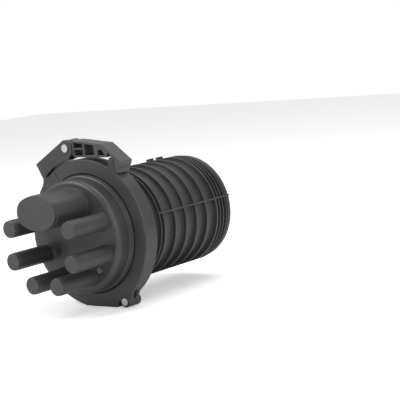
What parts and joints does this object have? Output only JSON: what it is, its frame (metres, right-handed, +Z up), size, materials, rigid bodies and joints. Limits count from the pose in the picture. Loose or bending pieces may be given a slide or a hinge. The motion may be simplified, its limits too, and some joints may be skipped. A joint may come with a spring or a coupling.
{
  "type": "dome splice closure",
  "caption": "Fibre splice closure: ported base and ribbed dome held by a hinged, lever-latched clamp ring, with splice trays on a backbone inside.",
  "frame": {"origin": "centre of the base's flat front face, on the closure's axis", "axes": "+Y along the axis from the ports to the dome's end, +Z up through the oval port, +X to the right seen from the ports"},
  "size_m": [0.24, 0.376, 0.2697],
  "materials": {
    "moulded_black": "satin moulded",
    "lever_black": "satin moulded",
    "seal_rubber": "matte",
    "steel": "zinc plated",
    "sheet_black": "satin powder coat",
    "tray_grey": "satin moulded",
    "comb_white": "matte",
    "strap_black": "woven",
    "nut_brass": "plain"
  },
  "bodies": {
    "closure": {"dome": "moulded_black", "base": "moulded_black", "seal_ring": "seal_rubber", "clamp_left": "moulded_black", "hinge_pin": "steel", "latch_pin": "steel", "earth_stud": "steel", "earth_nut": "steel", "pressure_valve": "moulded_black", "bracket": "sheet_black", "bracket_screws": "steel", "backbone": "moulded_black", "backbone_screws": "steel", "tray_1": "tray_grey", "tray_2": "tray_grey", "tray_3": "tray_grey", "tray_4": "tray_grey", "tray_5": "tray_grey", "tray_6": "tray_grey", "tray_7": "tray_grey", "tray_8": "tray_grey", "splice_combs": "comb_white", "tray_strap": "strap_black", "tie_studs": "steel", "tie_nuts": "nut_brass"},
    "clamp_half": {"clamp_right": "moulded_black"},
    "lever": {"latch_lever": "lever_black"}
  },
  "joints": [
    {"name": "clamp_open", "type": "hinge", "parent": "closure", "child": "clamp_half", "pos_m": [0.06265, 0.048, -0.10851], "axis": [0, 1, 0], "range_deg": [0, 25]},
    {"name": "latch_lift", "type": "hinge", "parent": "closure", "child": "lever", "pos_m": [-0.03012, 0.048, 0.13815], "axis": [0, -1, 0], "range_deg": [0, 125]}
  ],
  "couplings": [
    {"joint": "latch_lift", "follows": "clamp_open", "ratio": 5}
  ]
}
